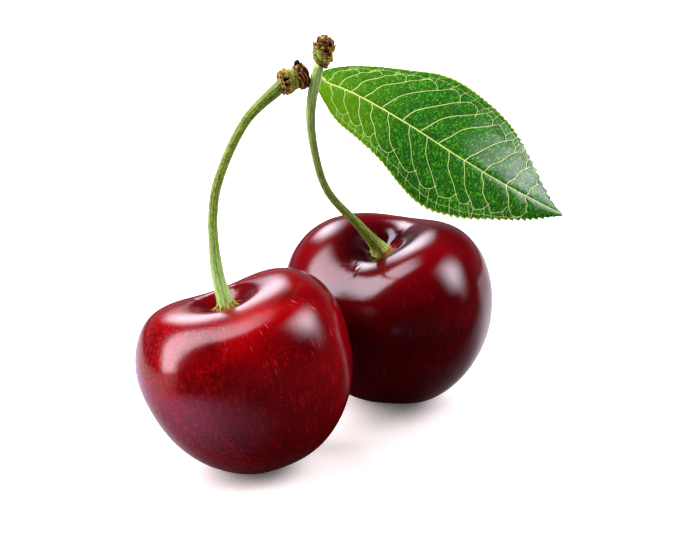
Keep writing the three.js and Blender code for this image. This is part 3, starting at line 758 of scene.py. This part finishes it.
def makeLeaf(name, node, material):
    form = leafForm
    centres, length = smoothRoute(form["midrib"], form["rows"] + 1)
    share, across = grid(np.linspace(0, 1, form["rows"] + 1), np.linspace(-1, 1, form["columns"] + 1))
    tangents = unit(np.gradient(centres, axis=0))
    sideways = unit(np.cross(unit(np.array(form["facing"], float)), tangents))
    normals = np.cross(tangents, sideways)
    atBack, inward = across > 0, np.abs(across)
    halfWidth = np.where(atBack, smoothValue(form["back"], share), smoothValue(form["front"], share))

    rng = np.random.default_rng(8)
    toothCount = share * form["teeth"]
    size = rng.uniform(0.6, 1.15, (2, form["teeth"] + 1))
    index = np.minimum(toothCount.astype(int), form["teeth"])
    phase = toothCount - np.floor(toothCount)
    rise = np.where(phase < 0.75, phase / 0.75, (1 - phase) / 0.25)   # a tooth rises slowly and drops fast
    edge = smoothStep(0.93, 1.0, inward) * np.minimum(1, halfWidth / 2) * np.where(atBack, *size[:, index])
    out = across * halfWidth + np.sign(across) * edge * form["toothDepth"] * (rise - 0.6)
    forward = edge * rise * form["toothForward"]

    plan = np.stack([share * length, out], -1)
    routes = veinRoutes(length)
    foot, width, pale = nearestVein(plan, routes)
    mainFoot = nearestVein(plan, [route for route in routes if route[2] > 0.8])[0]
    toVein = np.linalg.norm(plan - foot, axis=-1)
    toMain = np.minimum(np.linalg.norm(plan - mainFoot, axis=-1), np.abs(out))
    inside = 1 - smoothStep(0.86, 1.0, inward)
    fullness = np.minimum(1, halfWidth / 4)
    quilt = form["quilt"] * (1 - bump(toMain, form["quiltReach"])) * inside * fullness
    grooves = form["groove"] * bump(toVein, 0.13) * pale * inside
    ribFade = 1 - 0.75 * share
    ribGroove = form["ribGroove"] * bump(out, 0.3) * ribFade
    flat = np.dstack([plan, 0 * share])
    rumple = form["rumple"] * lumps(flat, 5.0, 2, 2.0) + 0.02 * lumps(flat, 1.3, 2, 7.0)
    turn = 2 * np.pi * share * form["waves"] + np.where(atBack, 0.5, 2.2)
    wave = form["wave"] * inward ** 3 * np.sin(turn)
    lift = -form["arch"] * np.abs(out) ** form["archPower"] + (rumple + wave) * fullness + quilt
    thin = form["thickness"] / 2 * (1 - 0.45 * inward ** 4)
    underRib = form["ribThickness"] * bump(out, 0.38) * ribFade
    underVeins = form["veinThickness"] * bump(toVein, 0.14) * pale * inside
    sheets = [centres[:, None] + tangents[:, None] * forward[..., None] + sideways[:, None] * out[..., None]
              + normals[:, None] * height[..., None]
              for height in (lift - thin - underRib - underVeins, lift - grooves - ribGroove + thin)]
    blade = (sheets, shellFaces(*share.shape), flat, np.dstack([foot, width]), pale, across, share,
             [1 + 0 * share, 0 * share])

    rings, sides = 24, 20   # the leaf's own short stalk, which takes the midrib's colour
    route, _ = smoothRoute(form["petiole"], rings)
    thick = smoothValue(form["petioleRadii"], np.linspace(0, 1, rings))[:, None]
    rod = tubePoints(route, thick, allRound(sides)[None, :])
    petiole = (rod, tubeFaces(rings, sides), [0] * 3, [0.05] * 3, 0, 0, 0, 0)
    piece = buildPiece(name, node, material, leafFields, [blade, petiole])
    piece.visible_glossy = False   # polished fruit right below would mirror the whole blade


# Cherry leaf: a thin living blade with a waxy upper face. Sunken pale veins quilt it, with painted shade
# drawn darker beside them, the finest ones leave a grain of small dark fields, and it turns yellow-green
# along the toothed rim; the yellow-green at its base is a painted glow of light shining through the thin
# blade.
def leafGreen(add):
    plan, foot = (add("Attribute", attribute_name=field).outputs["Vector"] for field in leafFields[:2])
    pale, across, along, under = (add("Attribute", attribute_name=field).outputs["Fac"]
                                  for field in leafFields[2:])
    footAlong, footOut, veinWidth = add("SeparateXYZ", [foot]).outputs
    gap = add("VectorMath", [plan, add("CombineXYZ", [footAlong, footOut])], operation="DISTANCE")
    relative = add("Math", [gap, veinWidth], operation="DIVIDE")
    lineMask = add("MapRange", [relative, 1.25, 0.6])
    # Painted shade: the blade is drawn darker along each side of a vein.
    shadeBesideVein = add("MapRange", [relative, 3.6, 1.2, 0, 0.6])
    fromRib = add("Math", [add("SeparateXYZ", [plan]).outputs[1]], operation="ABSOLUTE")
    ribWidth = add("MapRange", [along, 0, 1, *leafVeins["ribWidth"]])
    ribLine = add("Math", [fromRib, ribWidth], operation="DIVIDE")
    ribMask = add("MapRange", [ribLine, 1.2, 0.7])

    # Narrow fields of about 0.3 by 0.8 mm slant between the side veins, over the finest ones of about 0.3 mm.
    bothSides = add("VectorMath", [plan], operation="ABSOLUTE")
    slanted = add("Mapping", {"Vector": bothSides, "Rotation": (0, 0, math.radians(17))})
    narrow = add("VectorMath", [slanted, (3.4, 1.3, 1)])
    fieldMask = add("MapRange", [add("TexVoronoi", [narrow, 1]), 0.42, 0.14, 0, 0.9])
    mesh = add("TexVoronoi", [plan, 3.4], feature="DISTANCE_TO_EDGE")
    meshMask = add("MapRange", [mesh, 0.14, 0.03, 0, 0.7])
    speckle = add("TexNoise", [plan, 4.0, 2, 0.6])
    flecks = add("Math", [meshMask, add("MapRange", [speckle, 0.38, 0.62])])
    finest = add("Math", [fieldMask, flecks], operation="MAXIMUM")

    body = add("Mix", [add("TexNoise", [plan, 0.25, 3]), "#053c02", "#0e5a04"])
    # Painted glow: light shining through the thin blade, drawn as yellow-green at the base, most on its front
    # half.
    baseGlow = add("MapRange", [along, 0.36, 0])
    baseGlowSpread = add("MapRange", [across, 0.5, -0.9, 0.25, 0.95])
    rim = add("MapRange", [add("Math", [across], operation="ABSOLUTE"), 0.965, 0.995, 0, 0.8])
    upper = layered(add, body, [
        (finest, "#5cc41c"), (shadeBesideVein, "#043004"), (baseGlow, baseGlowSpread, "#8ccc10"), (rim, "#c4d43c"),
        (lineMask, pale, "#e0ff90"), (ribMask, "#e4f888")])
    coloured = add("Mix", [under, upper, add("Mix", [0.5, upper, "#8fb868"])])

    height = add("Math", [finest, -0.8, speckle], operation="MULTIPLY_ADD")
    relief = add("Bump", {"Height": height, "Strength": 0.75, "Distance": 0.0001})
    waxed = add("MapRange", [along, 0.55, 0.82])   # glossiest towards the tip
    return add("BsdfPrincipled", {
        "Base Color": coloured, "Roughness": 0.6, "IOR": 1.4, "Specular IOR Level": 0.12, "Normal": relief,
        "Coat Weight": waxed, "Coat Roughness": 0.18, "Coat IOR": 1.38, "Subsurface Weight": 0.1,
        "Subsurface Radius": (0.3, 0.6, 0.1), "Subsurface Scale": 0.0005})


makeLeaf("leafBlade", "leaf", makeMaterial("cherryLeafBlade", leafGreen))


# A softbox is [azimuth, elevation, roll, half sizes, softness of its edges, brightness, what share of that is
# left at its top end]. Azimuth 0 is the viewer's side and 90 is +X, and sizes are tangents of angles.
studio = dict(
    aim=(0.077, -10.313, 26.0), distance=450.0, elevation=22.0, lens=178.2, floorSize=1600.0,
    softboxes=[[-97.3, 39.7, 34, (0.24, 0.88), (0.07, 0.22), 11.6, 0.52],
               [92.6, 45.2, -24, (0.19, 0.33), (0.28, 0.34), 15.5, 1],
               [-164.7, 30.4, 1, (0.135, 0.17), (0.12, 0.12), 9.6, 1],
               [91, 17, 0, (0.1, 0.1), (0.2, 0.26), 3.6, 1]],
    tint="#f9f1ff", front=0.01, behind=0.3, fill=0.65, fillFrom=(-20, 12), fillSpread=110,
    paper=0.56, coolLightColour=(0.56, 0.5, 0.76), bounce=(0.25, 0.25, 0.25, 1), seenPaper=(1.38, 1.33, 1.2, 1),
    glow=(0.04, 0.04, 0.04, 1))


def whitePaper(add):
    rays = add("LightPath").outputs
    toCamera, inMirror = rays["Is Camera Ray"], rays["Is Glossy Ray"]
    where = add("TexCoord").outputs["Object"]
    leftBack = add("VectorMath", [where, (-0.5, 0.85, 0)], operation="DOT_PRODUCT")
    leftwards = add("VectorMath", [where, (-0.85, 0.4, 0)], operation="DOT_PRODUCT")
    away = add("VectorMath", [where], operation="LENGTH")
    # Painted light and shade in what fruit reflects: the paper is drawn lit at the left and behind, darker
    # near the middle where the fruit stand and far behind, with a weaker, cooler painted light at the front
    # left.
    lit, coolLightShare = studio["paper"], 1.0
    for value, start, full in ((leftBack, -0.014, 0.01), (leftBack, 0.16, 0.04), (away, 0.008, 0.022)):
        lit = add("Math", [add("MapRange", [value, start, full, 0.03], **soft), lit])
    for value, start, full in ((leftwards, -0.022, 0.02), (away, 0.02, 0.042), (away, 0.07, 0.045)):
        coolLightShare = add("Math", [add("MapRange", [value, start, full], **soft), coolLightShare])
    paintedCoolLight = add("VectorMath", [coolLightShare, studio["coolLightColour"]])
    reflected = add("VectorMath", [lit, paintedCoolLight], operation="MAXIMUM")
    unseen = add("Mix", [inMirror, studio["bounce"], reflected])
    paper = add("BsdfDiffuse", [add("Mix", [toCamera, unseen, studio["seenPaper"]])])
    return add("AddShader", [paper, add("Emission", [studio["glow"], toCamera])])


def makeFloor():
    half = studio["floorSize"] / 2 * mm
    mesh = bpy.data.meshes.new("floorPlane")
    mesh.from_pydata([(-half, -half, 0), (half, -half, 0), (half, half, 0), (-half, half, 0)], [], [range(4)])
    mesh.materials.append(makeMaterial("whitePaper", whitePaper))
    addObject("floorPlane", mesh)


def towards(azimuth, elevation):
    a, e = math.radians(azimuth), math.radians(elevation)
    return Vector((math.sin(a) * math.cos(e), -math.cos(a) * math.cos(e), math.sin(e)))


def softboxLight(add, facing, box):   # how bright the room is in each direction because of one softbox
    azimuth, elevation, roll, halves, edges, bright, top = box
    ahead = towards(azimuth, elevation)
    level = towards(azimuth + 90, 0)
    upright = level.cross(ahead)
    upright = upright if upright.z > 0 else -upright
    a = math.radians(roll)
    sides = (level * math.cos(a) + upright * math.sin(a), upright * math.cos(a) - level * math.sin(a))
    depth = add("VectorMath", [facing, ahead], operation="DOT_PRODUCT")
    before = add("Math", [depth, 0.05], operation="MAXIMUM")
    light = add("Math", [depth, 0.05], operation="GREATER_THAN")
    for side, half, edge in zip(sides, halves, edges):
        off = add("VectorMath", [facing, side], operation="DOT_PRODUCT")
        slant = add("Math", [off, before], operation="DIVIDE")
        size = add("Math", [slant], operation="ABSOLUTE")
        light = add("Math", [light, add("MapRange", [size, half + edge, half - edge], **soft)])
    dimming = add("MapRange", [slant, -0.1, half, 1.0, top])
    return add("Math", [add("Math", [light, dimming]), bright])


def studioRoom(add):
    facing = add("TexCoord").outputs["Generated"]
    _, back, up = add("SeparateXYZ", [facing]).outputs
    total = add("MapRange", [back, 0.3, 0.95, studio["front"], studio["behind"]])
    total = add("Math", [total, add("MapRange", [up, 0.35, 0, 0.12])])   # dimmer above
    for box in studio["softboxes"]:
        total = add("Math", [total, softboxLight(add, facing, box)], operation="ADD")
    room = add("Background", [studio["tint"], total])
    seen = add("Background", ["#ffffff", 1])
    toCamera = add("LightPath").outputs["Is Camera Ray"]
    return add("MixShader", [toCamera, room, seen])


def makeStudio():
    scene = bpy.context.scene
    scene.world = finished(bpy.data.worlds.new("studioRoom"), "OutputWorld", studioRoom)
    fill = bpy.data.lights.new("frontFill", "SUN")
    fill.energy, fill.angle = studio["fill"], math.radians(studio["fillSpread"])
    card = addObject("frontFill", fill)
    card.visible_glossy = False   # a polarised fill: it lights the colours but leaves no mirror light
    card.rotation_mode = "QUATERNION"
    card.rotation_quaternion = towards(*studio["fillFrom"]).to_track_quat("Z", "Y")

    lens = bpy.data.cameras.new("viewCamera")
    lens.lens, lens.sensor_width = studio["lens"], 36
    lens.clip_start, lens.clip_end = 0.01, 20
    camera = addObject("viewCamera", lens)
    away = towards(0, studio["elevation"])
    camera.location = (Vector(studio["aim"]) + away * studio["distance"]) * mm
    camera.rotation_mode = "QUATERNION"
    camera.rotation_quaternion = (-away).to_track_quat("-Z", "Y")
    scene.camera = camera
    scene.view_settings.view_transform = "Standard"
    print("floor, softboxes and camera set")


makeFloor()
makeStudio()
